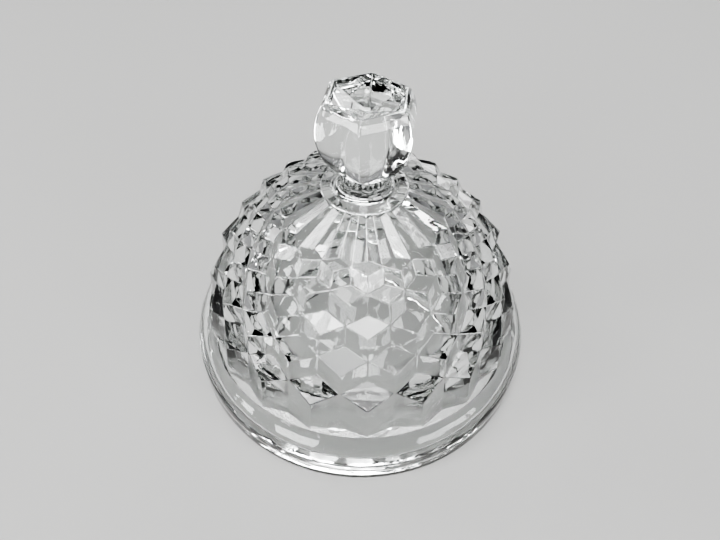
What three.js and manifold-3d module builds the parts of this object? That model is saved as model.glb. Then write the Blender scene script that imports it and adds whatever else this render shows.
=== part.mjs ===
// The cover of a vanity jar in clear pressed glass: a domed shell whose outside is a relief of stacked
// cubes, with long V flutes above them, a plain upright rim below, and a six-sided finial on a round neck.
// Millimetres, +Z up. The origin is the centre of the rim's foot, and azimuth 0 is the front, at -Y.
import * as THREE from "three";
import { mergeVertices } from "three/addons/utils/BufferGeometryUtils.js";
import Module from "manifold-3d";

// Rim
const rimRadius = 57.4;
const rimHeight = 9.4;
const rimDraft = 0.4; // how much narrower the rim is at its upper edge
const rimWall = 6.4;
const rimFootChamfer = 0.8;
const seatDepth = 5; // the straight bore above the mouth, which goes over the jar's neck

// Dome
const shoulderWidth = 5.1; // plain sloping band above the rim's upper edge
const shoulderRise = 7.6;
const ledgeWidth = 0.3; // flat strip between the shoulder and the lower ends of the cubes
const domeCentreRise = 6.4; // the dome is part of a ball, centred this far above the rim
const domeWall = 8.2; // measured at the corners of the cubes

// Cubes
const cubeColumns = 20;
const cubeRows = 5;
const lowestCornerAngle = 75.2; // degrees from the crown to the last row's outward corners
const rowPitchShare = 0.895; // of the pitch that would give every cube a regular six-sided outline
const cubeRelief = 0.25; // height of each of a cube's two steps, as a share of its edge
const cubeTurn = 2.7; // degrees from the front to the middle of the first column

// Flutes
const fluteRise = 23.5; // degrees
const fluteDepth = 1.3;
const fluteTopMargin = 0.5; // how far the flutes run in under the collar

// Collar and neck
const neckRadius = 6.5;
const neckRise = 5.8;
const saucerWidth = 2.6;
const collarWidth = 3.2;
const collarHeight = 0.7;

// Finial
const finialSides = 6;
const finialTurn = -7; // degrees from the front to the nearest ridge
const finialHeight = 21.5;
const finialRadius = 13.75; // over the ridges, at the widest ring
const finialWidestShare = 0.645; // of the finial's height
const finialRimRadius = 11.1;
const finialRimWidth = 1.2;
const recessDepth = 2.7;
const recessFloorRadius = 4.3;

// Fit and fineness
const jointGap = 0.3; // between the neck and the finial
const skirtMargin = 0.4; // how far the cubes' lower ends run into the shoulder
const cutMargin = 1; // how far the hollow's cutter runs out past the foot
const roundSides = 80;
const arcSteps = 8;
const cavitySteps = 10;

const glassColour = 0xe4ecea;
const glassRoughness = 0.05;

const rimTopRadius = rimRadius - rimDraft;
const domeRadius = rimTopRadius - shoulderWidth - ledgeWidth;
const domeCentre = rimHeight + domeCentreRise;
const shoulderHeight = rimHeight + shoulderRise;
const cavityRadius = domeRadius - domeWall;
const mouthRadius = rimRadius - rimWall;
const collarInner = neckRadius + saucerWidth;
const collarOuter = collarInner + collarWidth;
const columnTurn = (2 * Math.PI) / cubeColumns;
const rowPitch = (rowPitchShare * columnTurn * Math.sqrt(3)) / 2; // cube outlines packed as a honeycomb

const wasm = await Module();
wasm.setup();

// The geometry's closed surface as a solid.
function solidOf(geometry) {
  const bare = new THREE.BufferGeometry().setAttribute("position", geometry.getAttribute("position"));
  if (geometry.index) bare.setIndex(geometry.index);
  const merged = mergeVertices(bare);
  const corners = merged.index.array;
  const kept = [];
  for (let i = 0; i < corners.length; i += 3) {
    const [a, b, c] = corners.slice(i, i + 3);
    if (a !== b && b !== c && c !== a) kept.push(a, b, c);
  }
  const vertProperties = merged.getAttribute("position").array;
  return new wasm.Manifold(new wasm.Mesh({ numProp: 3, vertProperties, triVerts: new Uint32Array(kept) }));
}

// The solid's surface as a geometry, with flat faces.
function geometryOf(solid) {
  const mesh = solid.getMesh();
  const indexed = new THREE.BufferGeometry();
  indexed.setAttribute("position", new THREE.BufferAttribute(mesh.vertProperties, 3));
  indexed.setIndex(new THREE.BufferAttribute(mesh.triVerts, 1));
  const flat = indexed.toNonIndexed();
  flat.computeVertexNormals();
  return flat;
}

// A profile of [radius, height] pairs, from the axis round to the axis, turned about Z.
function turned(profile, sides, start = 0) {
  const points = profile.map(([radius, height]) => new THREE.Vector2(radius, height));
  return new THREE.LatheGeometry(points, sides, start).rotateX(Math.PI / 2);
}

// Points of a quarter ellipse's stretch, from one height to another, widest at widestHeight.
function ellipseArc(widest, widestHeight, endRadius, endHeight, steps) {
  const reach = (endHeight - widestHeight) / Math.sqrt(1 - (endRadius / widest) ** 2);
  const lastAngle = Math.acos(endRadius / widest);
  return Array.from({ length: steps + 1 }, (_, i) => {
    const angle = (lastAngle * i) / steps;
    return [widest * Math.cos(angle), widestHeight + reach * Math.sin(angle)];
  });
}

function pointAt(azimuth, ring) {
  return new THREE.Vector3(ring.radius * Math.sin(azimuth), -ring.radius * Math.cos(azimuth), ring.height);
}

// A ring on the dome, row by row from the top row, sunk by a number of cube steps. Rows are evenly spaced
// on a conformal map of the ball, so that every cube keeps its shape as it grows towards the rim.
function domeRing(row, sunkSteps) {
  const lowest = Math.log(Math.tan(THREE.MathUtils.degToRad(lowestCornerAngle) / 2));
  const level = lowest + (row - (cubeRows - 1)) * rowPitch - (sunkSteps * rowPitch) / 3;
  const angle = 2 * Math.atan(Math.exp(level));
  const reach = domeRadius - sunkSteps * stepDepth(angle);
  return { radius: reach * Math.sin(angle), height: domeCentre + reach * Math.cos(angle) };
}

// The depth of one of a cube's steps, at an angle from the crown.
function stepDepth(angle) {
  const cubeEdge = (domeRadius * Math.sin(angle) * columnTurn) / Math.sqrt(3);
  return cubeRelief * cubeEdge;
}

// The lower end of the last row's upright faces, a little way inside the shoulder.
function skirtRing(sunkSteps) {
  const reach = Math.sqrt(domeRadius ** 2 - (shoulderHeight - domeCentre) ** 2);
  const depth = stepDepth(THREE.MathUtils.degToRad(lowestCornerAngle));
  return { radius: reach - sunkSteps * depth, height: shoulderHeight - skirtMargin };
}

const cornerRing = (row) => domeRing(row, 0); // the cubes' outward corners
const sideRing = (row) => domeRing(row, 1); // where neighbouring cubes' top faces meet
const valleyRing = (row) => domeRing(row, 2); // the inward corners behind the top faces

const fluteFoot = sideRing(0);
const fluteSlope = Math.tan(THREE.MathUtils.degToRad(fluteRise));
const collarTop = fluteFoot.height + (fluteFoot.radius - collarOuter) * fluteSlope;
const neckTop = collarTop + neckRise;

// The fluted and cubed outside of the dome, closed inside the rim and under the collar.
function cubeDome() {
  const positions = [];
  const half = columnTurn / 2;
  const crestRadius = collarOuter - fluteTopMargin;
  const crest = { radius: crestRadius, height: collarTop + (collarOuter - crestRadius) * fluteSlope };
  const groove = { radius: crestRadius, height: crest.height - fluteDepth };
  const foot = { radius: domeRadius - domeWall / 2, height: rimHeight / 2 };
  const crown = new THREE.Vector3(0, 0, groove.height);
  const under = new THREE.Vector3(0, 0, foot.height);

  function face(...corners) {
    for (let i = 2; i < corners.length; i++) {
      for (const corner of [corners[0], corners[i - 1], corners[i]]) positions.push(...corner.toArray());
    }
  }

  for (let column = 0; column < cubeColumns; column++) {
    const front = THREE.MathUtils.degToRad(cubeTurn) + column * columnTurn;
    for (const side of [-1, 1]) {
      const edge = front + side * half;
      // The right-hand half of a column is the left-hand one mirrored, so its faces run the other way.
      const add = (...corners) => (side < 0 ? face(...corners) : face(...corners.reverse()));
      add(pointAt(edge, crest), pointAt(edge, fluteFoot), pointAt(front, valleyRing(0)), pointAt(front, groove));
      add(crown, pointAt(edge, crest), pointAt(front, groove));
    }
    for (let row = 0; row < cubeRows; row++) {
      const isLast = row === cubeRows - 1;
      const belowRing = isLast ? skirtRing(0) : sideRing(row + 1);
      const besideRing = isLast ? skirtRing(1) : valleyRing(row + 1);
      const middle = front + (row % 2) * half;
      const left = middle - half;
      const right = middle + half;
      const corner = pointAt(middle, cornerRing(row));
      const below = pointAt(middle, belowRing);
      const leftTop = pointAt(left, sideRing(row));
      const rightTop = pointAt(right, sideRing(row));
      face(leftTop, corner, rightTop, pointAt(middle, valleyRing(row)));
      face(leftTop, pointAt(left, besideRing), below, corner);
      face(corner, below, pointAt(right, besideRing), rightTop);
    }
    const lastMiddle = front + ((cubeRows - 1) % 2) * half;
    for (const side of [-1, 1]) {
      const edge = lastMiddle + side * half;
      const add = (...corners) => (side < 0 ? face(...corners) : face(...corners.reverse()));
      const valley = pointAt(edge, skirtRing(1));
      const below = pointAt(lastMiddle, skirtRing(0));
      add(valley, pointAt(edge, foot), pointAt(lastMiddle, foot), below);
      add(under, pointAt(lastMiddle, foot), pointAt(edge, foot));
    }
  }
  const geometry = new THREE.BufferGeometry();
  geometry.setAttribute("position", new THREE.Float32BufferAttribute(positions, 3));
  return geometry;
}

// The plain turned outside: rim, shoulder, collar and neck, on a core that the cube relief covers.
function plainOutside() {
  return turned(
    [
      [0, 0],
      [rimRadius - rimFootChamfer, 0],
      [rimRadius, rimFootChamfer],
      [rimTopRadius, rimHeight],
      [rimTopRadius - shoulderWidth, shoulderHeight],
      [0, shoulderHeight],
    ],
    roundSides,
  );
}

// The neck's concave sweep up from the collar's bead.
function neckStem() {
  const beadMiddle = collarInner + collarWidth / 2;
  const sweep = Array.from({ length: arcSteps + 1 }, (_, i) => {
    const angle = (i / arcSteps) * (Math.PI / 2);
    return [collarInner - saucerWidth * Math.sin(angle), neckTop - neckRise * Math.cos(angle)];
  });
  const root = collarTop - fluteDepth - collarHeight;
  return turned(
    [
      [0, root],
      [collarOuter + fluteTopMargin, root],
      [collarOuter, collarTop],
      [beadMiddle, collarTop + collarHeight],
      ...sweep,
      [0, neckTop],
    ],
    roundSides,
  );
}

// The hollow that the glass is pressed round: the mouth, its seat and the inside of the dome.
function cavity() {
  const inside = Array.from({ length: cavitySteps }, (_, i) => {
    const angle = (Math.PI / 2) * (1 - i / cavitySteps);
    return [cavityRadius * Math.sin(angle), domeCentre + cavityRadius * Math.cos(angle)];
  });
  return turned(
    [
      [0, -cutMargin],
      [mouthRadius, -cutMargin],
      [mouthRadius, seatDepth],
      ...inside,
      [0, domeCentre + cavityRadius],
    ],
    roundSides,
  );
}

function domeCover() {
  const outside = solidOf(cubeDome()).add(solidOf(plainOutside())).add(solidOf(neckStem()));
  return geometryOf(outside.subtract(solidOf(cavity())));
}

// Six flat panels that bulge over the neck and close in to a rim round a shallow recess.
function finialBody() {
  const foot = neckTop + jointGap;
  const top = neckTop + finialHeight;
  const widest = neckTop + finialHeight * finialWidestShare;
  const lower = ellipseArc(finialRadius, widest, neckRadius, foot, arcSteps).reverse();
  const upper = ellipseArc(finialRadius, widest, finialRimRadius, top, arcSteps).slice(1);
  const profile = [
    [0, foot],
    ...lower,
    ...upper,
    [finialRimRadius - finialRimWidth, top],
    [recessFloorRadius, top - recessDepth],
    [0, top - recessDepth],
  ];
  return geometryOf(solidOf(turned(profile, finialSides, THREE.MathUtils.degToRad(finialTurn))));
}

function glass() {
  return new THREE.MeshStandardMaterial({
    color: glassColour,
    roughness: glassRoughness,
    metalness: 0,
    flatShading: true,
  });
}

function piece(name, geometry) {
  const mesh = new THREE.Mesh(geometry, glass());
  mesh.name = name;
  return mesh;
}

const cover = new THREE.Group();
cover.add(piece("dome_cover", domeCover()));
cover.add(piece("finial", finialBody()));

export default cover;
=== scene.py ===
import math

import bpy
import bmesh
from mathutils import Matrix, Vector


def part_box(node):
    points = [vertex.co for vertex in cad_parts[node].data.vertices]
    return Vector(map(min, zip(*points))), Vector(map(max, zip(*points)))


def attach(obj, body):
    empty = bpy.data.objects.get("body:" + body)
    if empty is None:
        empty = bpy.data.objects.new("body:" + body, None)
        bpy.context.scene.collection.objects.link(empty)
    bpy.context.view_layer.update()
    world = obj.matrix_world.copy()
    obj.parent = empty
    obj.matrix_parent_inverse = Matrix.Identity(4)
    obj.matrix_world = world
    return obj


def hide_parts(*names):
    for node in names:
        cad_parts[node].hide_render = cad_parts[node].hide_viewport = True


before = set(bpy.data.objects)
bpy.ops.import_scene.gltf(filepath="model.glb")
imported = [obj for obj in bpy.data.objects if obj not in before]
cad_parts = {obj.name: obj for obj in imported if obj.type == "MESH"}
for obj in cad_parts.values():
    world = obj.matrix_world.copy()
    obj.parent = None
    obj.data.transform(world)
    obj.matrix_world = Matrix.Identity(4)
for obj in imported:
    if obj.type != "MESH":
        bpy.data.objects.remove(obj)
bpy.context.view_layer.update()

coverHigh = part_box("dome_cover")[1]
rimRadius = coverHigh.x
neckTop = coverHigh.z
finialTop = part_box("finial")[1].z
print("frame loaded, rim radius", round(rimRadius, 4), "top", round(finialTop, 4))


def azimuthOf(co):
    return math.atan2(co.x, -co.y)   # 0 is the front, at -Y


def pointAt(azimuth, radius, height):
    return Vector((radius * math.sin(azimuth), -radius * math.cos(azimuth), height))


def addObject(bm, name):
    mesh = bpy.data.meshes.new(name)
    bm.to_mesh(mesh)
    bm.free()
    made = bpy.data.objects.new(name, mesh)
    bpy.context.collection.objects.link(made)
    return made


# The outside of the dome: five rows of stacked cubes, with V flutes above them.
cubes = {
    "columns": 20,
    "rows": 5,
    "turn": math.radians(2.7),          # from the front to the middle of the first column
    "ballCentre": 0.0158,               # height of the centre of the ball that the corners lie on
    "ballInset": 0.0058,                # how much smaller than the rim the ball is
    "lowestAngle": math.radians(75.2),  # from the crown to the last row's outward corners
    "pitchShare": 0.895,                # of the row pitch that makes regular six-sided outlines
    "relief": 0.25,                     # height of one cube step, as a share of the cube's edge
    "edgeRound": 0.0003,
    "edgeSegments": 3,
    "collarRadius": 0.0121,             # where the flutes end, under the collar
    "collarDrop": 0.0058,               # from the top of the neck down to the flutes' ends
    "fluteDepth": 0.0013,
    "skirtHeight": 0.0170,              # where the last row's upright faces end, on the shoulder
    "collarStep": 0.0006,               # about the length of a border edge under the collar
    "skirtStep": 0.0013,                # about the length of a border edge on the shoulder
    "sharpAngle": math.radians(40),
    "normalWeight": 80,
    "weld": 1e-6,
}
ballRadius = rimRadius - cubes["ballInset"]
collarHeight = neckTop - cubes["collarDrop"]
columnTurn = 2 * math.pi / cubes["columns"]
rowPitch = cubes["pitchShare"] * columnTurn * math.sqrt(3) / 2


def stepDepth(angle):
    return cubes["relief"] * ballRadius * math.sin(angle) * columnTurn / math.sqrt(3)


def domeRing(row, sunkSteps):
    lowest = math.log(math.tan(cubes["lowestAngle"] / 2))
    level = lowest + (row - (cubes["rows"] - 1)) * rowPitch - sunkSteps * rowPitch / 3
    angle = 2 * math.atan(math.exp(level))
    reach = ballRadius - sunkSteps * stepDepth(angle)
    return reach * math.sin(angle), cubes["ballCentre"] + reach * math.cos(angle)


def skirtRing(sunkSteps):
    reach = math.sqrt(ballRadius ** 2 - (cubes["skirtHeight"] - cubes["ballCentre"]) ** 2)
    return reach - sunkSteps * stepDepth(cubes["lowestAngle"]), cubes["skirtHeight"]


def addColumn(bm):
    half = columnTurn / 2

    def face(*places):
        bm.faces.new([bm.verts.new(pointAt(azimuth, *ring)) for azimuth, ring in places])

    crest = (cubes["collarRadius"], collarHeight)
    groove = (cubes["collarRadius"], collarHeight - cubes["fluteDepth"])
    front = cubes["turn"]
    fluteEnd, fluteSide = domeRing(0, 2), domeRing(0, 1)
    face((front - half, crest), (front - half, fluteSide), (front, fluteEnd), (front, groove))
    face((front, groove), (front, fluteEnd), (front + half, fluteSide), (front + half, crest))
    for row in range(cubes["rows"]):
        isLast = row == cubes["rows"] - 1
        middle = front + (row % 2) * half
        corner = (middle, domeRing(row, 0))
        below = (middle, skirtRing(0) if isLast else domeRing(row + 1, 1))
        valley = skirtRing(1) if isLast else domeRing(row + 1, 2)
        left, right = (middle - half, domeRing(row, 1)), (middle + half, domeRing(row, 1))
        face(left, corner, right, (middle, domeRing(row, 2)))
        face(left, (middle - half, valley), below, corner)
        face(corner, below, (middle + half, valley), right)


# Two faces on the same corners are left where a full turn meets its start.
def removeTwins(bm):
    bm.verts.index_update()
    seen, twins = set(), []
    for f in bm.faces:
        corners = frozenset(v.index for v in f.verts)
        if corners in seen:
            twins.append(f)
        seen.add(corners)
    bmesh.ops.delete(bm, geom=twins, context="FACES")


# Cuts the open border at the heights that isWanted picks into short edges, and returns its loop.
def splitBorder(bm, isWanted, step):
    def loop():
        return [e for e in bm.edges if e.is_boundary and isWanted(e.verts[0].co.z)]
    byCuts = {}
    for e in loop():
        byCuts.setdefault(round(e.calc_length() / step) - 1, []).append(e)
    for cuts, edges in byCuts.items():
        if cuts > 0:
            bmesh.ops.subdivide_edges(bm, edges=edges, cuts=cuts)
    return loop()


def closeRing(bm, loop):
    bmesh.ops.contextual_create(bm, geom=loop)


# Grows a ring of faces from a border loop. The new ring lies at one radius, or at radius(azimuth).
def growRing(bm, loop, radius, height):
    made = bmesh.ops.extrude_edge_only(bm, edges=loop)["geom"]
    for v in (g for g in made if isinstance(g, bmesh.types.BMVert)):
        azimuth = azimuthOf(v.co)
        v.co = pointAt(azimuth, radius(azimuth) if callable(radius) else radius, height)
    return [g for g in made if isinstance(g, bmesh.types.BMEdge) and g.is_boundary]


def growRings(bm, loop, profile):
    for radius, height in profile:
        loop = growRing(bm, loop, radius, height)
    return loop


# Points on part of an ellipse, from its first angle to its last in degrees, without the first point.
def arc(centreRadius, centreHeight, alongRadius, alongHeight, first, last, steps):
    points = []
    for i in range(1, steps + 1):
        angle = math.radians(first + (last - first) * i / steps)
        radius = centreRadius + alongRadius * math.cos(angle)
        points.append((radius, centreHeight + alongHeight * math.sin(angle)))
    return points


# Points that round a corner off from the point before it to the point after it, without the first.
def bend(before, corner, after, steps):
    points = []
    for i in range(1, steps + 1):
        t = i / steps
        points.append(tuple(before * (1 - t) ** 2 + corner * 2 * t * (1 - t) + after * t ** 2))
    return points


# The plain band below the cubes, the rim, its foot and the hollow.
rim = {
    "height": 0.0094,
    "draft": 0.0004,                  # how much the radius shrinks up to the rim's top
    "ledge": 0.0003,                  # how far the band stands out under the cubes
    "edgeRound": 0.0012,
    "edgeSteps": 6,
    "bandRings": (0.35, 0.65, 1.0),   # shares of the way down the sloping band
    "footRound": 0.0008,
    "footSteps": 5,
    "wall": 0.0064,
    "seatDepth": 0.0050,              # depth of the straight bore above the mouth
    "seatRun": 0.15,                  # share of the slope above the bore that its edge takes up
    "seatSteps": 4,
    "slopeRings": (0.4, 0.65, 0.85),  # shares of the way up that slope
    "domeWall": 0.0082,               # thickness at the cubes' corners
    "hollowStart": 4,                 # degrees above the middle of the ball
    "hollowSteps": 40,
    "crownRadius": 0.0012,            # the flat patch that closes the hollow
}


def rimProfile():
    top = rimRadius - rim["draft"]
    shoulderFoot = Vector((top, rim["height"]))
    shoulderHead = Vector((ballRadius + rim["ledge"], cubes["skirtHeight"]))
    slope = (shoulderFoot - shoulderHead).normalized()
    edge, foot = rim["edgeRound"], rim["footRound"]
    before, after = shoulderFoot - slope * edge, shoulderFoot - Vector((0, edge))
    profile = [tuple(shoulderHead), tuple(shoulderHead + slope * foot)]
    profile += [tuple(shoulderHead.lerp(before, t)) for t in rim["bandRings"]]
    profile += bend(before, shoulderFoot, after, rim["edgeSteps"])
    profile += [(rimRadius - rim["draft"] / 2, rim["height"] / 2), (rimRadius, 2 * foot)]
    profile += arc(rimRadius - foot, foot, foot, foot, 0, -90, rim["footSteps"])
    mouth = rimRadius - rim["wall"]
    profile += [((rimRadius + mouth) / 2, 0)]
    profile += arc(mouth + foot, foot, foot, foot, -90, -180, rim["footSteps"])
    profile += [(mouth, rim["seatDepth"] - foot)]
    return profile


def hollowProfile():
    ball = ballRadius - rim["domeWall"]
    mouth = rimRadius - rim["wall"]
    seat, waist = Vector((mouth, rim["seatDepth"])), Vector((ball, cubes["ballCentre"]))
    before, after = seat - Vector((0, rim["footRound"])), seat.lerp(waist, rim["seatRun"])
    profile = bend(before, seat, after, rim["seatSteps"])
    profile += [tuple(seat.lerp(waist, t)) for t in rim["slopeRings"]]
    first, last = rim["hollowStart"], 90 - math.degrees(math.asin(rim["crownRadius"] / ball))
    return profile + arc(0, cubes["ballCentre"], ball, ball, first, last, rim["hollowSteps"])


# The neck and the six-sided finial, which grow up from the collar in the same glass.
finial = {
    "sides": 6,
    "turn": math.radians(-7),     # from the front to the nearest ridge
    "ridgePower": 90,             # the higher, the sharper the ridges
    "widest": 0.01375,            # radius over the ridges
    "widestShare": 0.645,         # of the finial's height
    "bloomRings": 3,              # rings over which the round neck turns six-sided
    "rimRadius": 0.0111,
    "rimWidth": 0.0012,
    "rimRound": 0.0005,
    "rimOuterSteps": 4,
    "rimInnerSteps": 3,
    "rimInnerEnd": 150,           # degrees round the rim to where the recess wall starts
    "recessDepth": 0.0027,
    "recessFloor": 0.0043,        # radius of the recess floor
    "recessRings": (0.15, 0.5, 0.8, 0.95, 1),   # shares of the way down the recess wall
    "dish": ((0.96, 0.00012), (0.85, 0.0003), (0.6, 0.0006), (0.3, 0.0008), (0.1, 0.00085)),   # share, drop
    "collarLap": 0.0002,          # how far the collar stands out past the flutes
    "collarRise": 0.0006,
    "collarRound": 0.00045,
    "collarSteps": 4,
    "collarInnerEnd": 165,        # degrees over the collar to where the saucer starts
    "saucerWidth": 0.0026,
    "saucerStart": 84,            # degrees, from nearly flat to upright at the neck
    "neckRadius": 0.0065,
    "steps": 12,
}


# How far out a rounded six-sided ring reaches at an azimuth, for a ring that is about 1 over its ridges.
def sixSided(azimuth):
    step = 2 * math.pi / finial["sides"]
    apothem = math.cos(step / 2)
    power = finial["ridgePower"]
    facings = [azimuth - finial["turn"] - (k + 0.5) * step for k in range(finial["sides"])]
    total = sum(max(0, math.cos(facing)) ** power for facing in facings)
    return apothem / total ** (1 / power)


# A ring for growRing: a share of 1 is fully six-sided, and 0 is round.
def sixSidedRing(radius, share=1.0):
    return lambda azimuth: radius * (sixSided(azimuth) * share + 1 - share)


def neckProfile():
    lip, lap, steps = finial["collarRound"], finial["collarLap"], finial["collarSteps"]
    outer = cubes["collarRadius"] + lap
    inner = finial["neckRadius"] + finial["saucerWidth"]
    top = collarHeight + finial["collarRise"]
    profile = [(outer, collarHeight + lap / 2)]
    profile += arc(outer - lip, top - lip, lip, lip, 0, 90, steps)
    profile += [((outer + inner) / 2, top), (inner + lip, top)]
    profile += arc(inner + lip, top - lip, lip, lip, 90, finial["collarInnerEnd"], steps)
    profile += arc(inner, neckTop, -finial["saucerWidth"], collarHeight - neckTop,
                   finial["saucerStart"], 0, finial["steps"])
    return profile


def finialProfile():
    foot = neckTop
    height = finialTop - foot
    widest = foot + height * finial["widestShare"]
    radius, steps = finial["widest"], finial["steps"]
    profile = []
    start = math.degrees(math.acos(finial["neckRadius"] / radius))
    reach = (widest - foot) / math.sin(math.radians(start))
    for i, (r, z) in enumerate(arc(0, widest, radius, reach, -start, 0, steps)):
        profile.append((sixSidedRing(r, min(1, (i + 1) / finial["bloomRings"])), z))
    end = math.degrees(math.acos(finial["rimRadius"] / radius))
    reach = (finialTop - widest) / math.sin(math.radians(end))
    lip = finial["rimRound"]
    outer = finial["rimRadius"]
    for r, z in arc(0, widest, radius, reach, 0, end, steps)[:-1]:
        profile.append((sixSidedRing(r), min(z, finialTop - lip)))
    inner = outer - finial["rimWidth"]
    for r, z in arc(outer - lip, finialTop - lip, lip, lip, 0, 90, finial["rimOuterSteps"]):
        profile.append((sixSidedRing(r), z))
    innerEnd, innerSteps = finial["rimInnerEnd"], finial["rimInnerSteps"]
    for r, z in arc(inner + lip, finialTop - lip, lip, lip, 90, innerEnd, innerSteps):
        profile.append((sixSidedRing(r), z))
    floor, floorHeight = finial["recessFloor"], finialTop - finial["recessDepth"]
    wallTop = finialTop - lip
    for t in finial["recessRings"]:
        r, z = inner + (floor - inner) * t, wallTop + (floorHeight - wallTop) * t
        profile.append((sixSidedRing(r), z))
    for share, drop in finial["dish"]:
        profile.append((sixSidedRing(floor * share, share), floorHeight - drop))
    return profile


def makeCover():
    bm = bmesh.new()
    addColumn(bm)
    bmesh.ops.spin(bm, geom=bm.faces[:] + bm.edges[:] + bm.verts[:], axis=(0, 0, 1), cent=(0, 0, 0),
                   angle=2 * math.pi, steps=cubes["columns"], use_duplicate=True, use_merge=True)
    bmesh.ops.remove_doubles(bm, verts=bm.verts[:], dist=cubes["weld"])
    removeTwins(bm)
    inner = [e for e in bm.edges if not e.is_boundary]
    bmesh.ops.bevel(bm, geom=inner, offset=cubes["edgeRound"], affect="EDGES", profile=0.5,
                    segments=cubes["edgeSegments"], clamp_overlap=True, material=-1)
    print("cubes and flutes:", len(bm.faces), "faces")

    middle = neckTop / 2
    upper = splitBorder(bm, lambda z: z > middle, cubes["collarStep"])
    lower = splitBorder(bm, lambda z: z < middle, cubes["skirtStep"])
    closeRing(bm, growRings(bm, upper, neckProfile() + finialProfile()))
    closeRing(bm, growRings(bm, lower, rimProfile() + hollowProfile()))
    bmesh.ops.remove_doubles(bm, verts=bm.verts[:], dist=cubes["weld"])
    bmesh.ops.recalc_face_normals(bm, faces=bm.faces[:])
    for face in bm.faces:
        face.smooth = True
    for edge in bm.edges:
        if len(edge.link_faces) == 2 and edge.calc_face_angle() > cubes["sharpAngle"]:
            edge.smooth = False
    openEdges = sum(len(e.link_faces) != 2 for e in bm.edges)
    print("cover:", len(bm.faces), "faces,", openEdges, "open edges")

    cover = addObject(bm, "coverGlass")
    evenNormals = cover.modifiers.new("evenNormals", "WEIGHTED_NORMAL")
    evenNormals.keep_sharp = True
    evenNormals.weight = cubes["normalWeight"]
    return cover


# Clear pressed glass, very slightly wavy where the mould chilled it.
glass = {
    "tint": (0.985, 0.995, 0.99, 1),
    "roughness": 0.012,
    "ior": 1.52,
    "absorption": (0.80, 0.87, 0.85, 1),
    "density": 5.0,
    "wave": {"scale": 150.0, "detail": 1, "depth": 0.0002},
    "ripple": {"scale": 620.0, "detail": 2, "depth": 0.00002},
}


def makeGlass():
    material = bpy.data.materials.new("pressedGlass")
    material.use_nodes = True
    nodes, links = material.node_tree.nodes, material.node_tree.links
    nodes.clear()
    output = nodes.new("ShaderNodeOutputMaterial")
    shader = nodes.new("ShaderNodeBsdfPrincipled")
    shader.inputs["Base Color"].default_value = glass["tint"]
    shader.inputs["Roughness"].default_value = glass["roughness"]
    shader.inputs["IOR"].default_value = glass["ior"]
    shader.inputs["Transmission Weight"].default_value = 1
    place = nodes.new("ShaderNodeTexCoord")
    bumps = []
    for unevenness in (glass["wave"], glass["ripple"]):
        noise = nodes.new("ShaderNodeTexNoise")
        bump = nodes.new("ShaderNodeBump")
        noise.inputs["Scale"].default_value = unevenness["scale"]
        noise.inputs["Detail"].default_value = unevenness["detail"]
        bump.inputs["Strength"].default_value = 1
        bump.inputs["Distance"].default_value = unevenness["depth"]
        links.new(place.outputs["Object"], noise.inputs["Vector"])
        links.new(noise.outputs["Fac"], bump.inputs["Height"])
        bumps.append(bump)
    waveBump, rippleBump = bumps
    absorb = nodes.new("ShaderNodeVolumeAbsorption")
    absorb.inputs["Color"].default_value = glass["absorption"]
    absorb.inputs["Density"].default_value = glass["density"]
    links.new(waveBump.outputs["Normal"], rippleBump.inputs["Normal"])
    links.new(rippleBump.outputs["Normal"], shader.inputs["Normal"])
    links.new(shader.outputs["BSDF"], output.inputs["Surface"])
    links.new(absorb.outputs["Volume"], output.inputs["Volume"])
    return material


cover = makeCover()
cover.data.materials.append(makeGlass())
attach(cover, "root")
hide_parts("dome_cover", "finial")
print("cover made")

# The floor, a pale matt sheet.
floorSheet = {
    "size": 12.0,
    "colour": (0.19, 0.19, 0.187, 1),
    "roughness": 0.75,
}


def makeFloor():
    bm = bmesh.new()
    bmesh.ops.create_grid(bm, x_segments=1, y_segments=1, size=floorSheet["size"])
    floor = addObject(bm, "floor")
    material = bpy.data.materials.new("paleFloor")
    material.use_nodes = True
    shader = material.node_tree.nodes["Principled BSDF"]
    shader.inputs["Base Color"].default_value = floorSheet["colour"]
    shader.inputs["Roughness"].default_value = floorSheet["roughness"]
    floor.data.materials.append(material)
    return floor


floor = makeFloor()

# Soft studio light: a soft sun and a long box overhead, boxes at the front and back, and narrow strips
# that trace the edges. The room is pale along the horizon and dark higher up.
studio = {
    "exposure": 0.55,
    "room": ((0.0, 0.22), (0.26, 0.15), (0.40, 0.012), (0.80, 0.015), (1.0, 0.06)),   # height, grey
    "roomBlue": 1.02,
    "overhead": {"place": (-0.12, -0.10, 1.0), "strength": 1.7, "spread": math.radians(30)},
    "lights": {
        "leftBox": {"place": (-1.10, -1.55, 0.62), "size": (0.85, 0.85), "power": 20.0},
        "leftFarBox": {"place": (-1.80, -0.75, 0.62), "size": (0.40, 0.85), "power": 9.5},
        "rightBox": {"place": (1.45, -1.15, 0.55), "size": (1.10, 0.60), "power": 12.0},
        "topBox": {"place": (0.0, -0.40, 1.25), "size": (0.70, 2.60), "power": 22.0},
        "frontStrip": {"place": (0.20, -1.90, 1.10), "size": (1.00, 0.05), "power": 8.8},
        "leftStrip": {"place": (-1.40, -0.30, 1.40), "size": (0.06, 1.00), "power": 9.6},
        "rightStrip": {"place": (1.24, -0.20, 1.60), "size": (0.06, 1.00), "power": 8.0},
        "backBox": {"place": (0.50, 1.70, 1.10), "size": (1.20, 0.44), "power": 8.8},
        "backLeftStrip": {"place": (-1.50, 0.80, 1.00), "size": (0.10, 0.90), "power": 7.2},
    },
}


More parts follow.
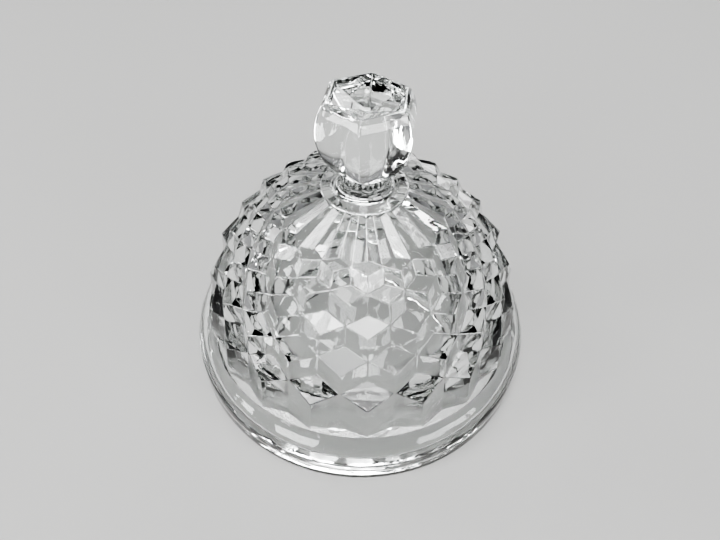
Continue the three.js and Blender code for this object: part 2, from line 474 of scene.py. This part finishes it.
def addLamp(name, kind, place):
    data = bpy.data.lights.new(name, kind)
    lamp = bpy.data.objects.new(name, data)
    bpy.context.collection.objects.link(lamp)
    lamp.visible_camera = False
    lamp.location = place
    aim = Vector((0, 0, finialTop / 2))
    lamp.rotation_euler = (aim - lamp.location).to_track_quat("-Z", "Y").to_euler()
    return data


def makeStudio():
    overhead = studio["overhead"]
    sky = addLamp("overheadLamp", "SUN", overhead["place"])
    sky.energy = overhead["strength"]
    sky.angle = overhead["spread"]
    for name, light in studio["lights"].items():
        box = addLamp(name, "AREA", light["place"])
        box.shape = "RECTANGLE"
        box.size, box.size_y = light["size"]
        box.energy = light["power"]
    room = bpy.data.worlds.new("room")
    bpy.context.scene.world = room
    bpy.context.scene.view_settings.view_transform = "AgX"
    bpy.context.scene.view_settings.look = "AgX - High Contrast"
    bpy.context.scene.view_settings.exposure = studio["exposure"]
    room.use_nodes = True
    nodes, links = room.node_tree.nodes, room.node_tree.links
    place = nodes.new("ShaderNodeTexCoord")
    split = nodes.new("ShaderNodeSeparateXYZ")
    ramp = nodes.new("ShaderNodeValToRGB")
    steps = ramp.color_ramp.elements
    for position, grey in studio["room"]:
        step = steps[0] if position == 0 else steps[-1] if position == 1 else steps.new(position)
        step.color = (grey, grey, grey * studio["roomBlue"], 1)
    links.new(place.outputs["Generated"], split.inputs["Vector"])
    links.new(split.outputs["Z"], ramp.inputs["Fac"])
    links.new(ramp.outputs["Color"], nodes["Background"].inputs["Color"])


makeStudio()

# The camera stands above the front of the cover, close, and looks down at it.
camera = {
    "place": (-0.00066, -0.10765, 0.15476),
    "down": math.radians(49.41),
    "roll": math.radians(1.49),
    "lens": 25,
    "sensor": 36,
    "clipStart": 0.005,
}


def makeCamera():
    data = bpy.data.cameras.new("camera")
    data.lens = camera["lens"]
    data.sensor_width = camera["sensor"]
    data.clip_start = camera["clipStart"]
    view = bpy.data.objects.new("camera", data)
    bpy.context.collection.objects.link(view)
    turn = Matrix.Rotation(math.pi / 2 - camera["down"], 4, "X") @ Matrix.Rotation(camera["roll"], 4, "Z")
    view.matrix_world = Matrix.Translation(camera["place"]) @ turn
    bpy.context.scene.camera = view


makeCamera()
print("studio and camera made")
